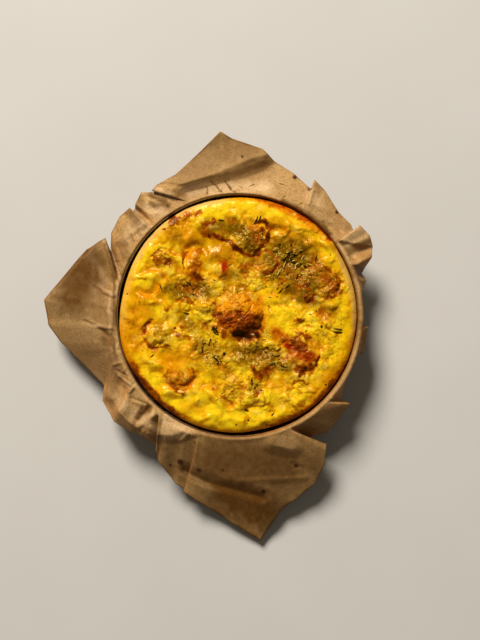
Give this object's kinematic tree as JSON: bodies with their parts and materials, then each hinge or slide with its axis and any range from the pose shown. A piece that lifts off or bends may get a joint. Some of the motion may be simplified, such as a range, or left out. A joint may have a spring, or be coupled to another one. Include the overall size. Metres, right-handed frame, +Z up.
{
  "type": "quiche",
  "caption": "Round cauliflower quiche in a paper-lined baking tin, with set egg custard, browned florets and herbs, and the paper folded over the rim.",
  "frame": {"origin": "centre of the tin's flat underside, on the surface it stands on", "axes": "+Z up out of the tin's mouth, -Y towards the longest corner of the baking paper, -X towards its side corner"},
  "size_m": [0.2767, 0.3479, 0.0546],
  "materials": {
    "tin": "plain baking tin",
    "paper": "crumpled brown baking paper",
    "pastry": "baked shortcrust pastry",
    "custard": "moist set egg custard with browned spots",
    "floret": "baked cauliflower under a skin of custard",
    "browned_floret": "deeply browned cauliflower"
  },
  "bodies": {
    "root": {"tin": "tin", "baking_paper": "paper", "pastry_case": "pastry", "custard": "custard", "floret_centre": "browned_floret", "floret_right": "browned_floret", "floret_top": "floret", "floret_top_stalk": "floret", "floret_far_left": "floret", "floret_upper_left": "floret", "floret_left": "floret", "floret_lower_left": "floret", "floret_mid_left": "floret", "floret_upper_right": "floret", "floret_far_right": "floret", "floret_mid_right": "floret", "floret_lower": "floret", "floret_lower_right": "floret", "floret_low_far_right": "floret"}
  },
  "joints": []
}
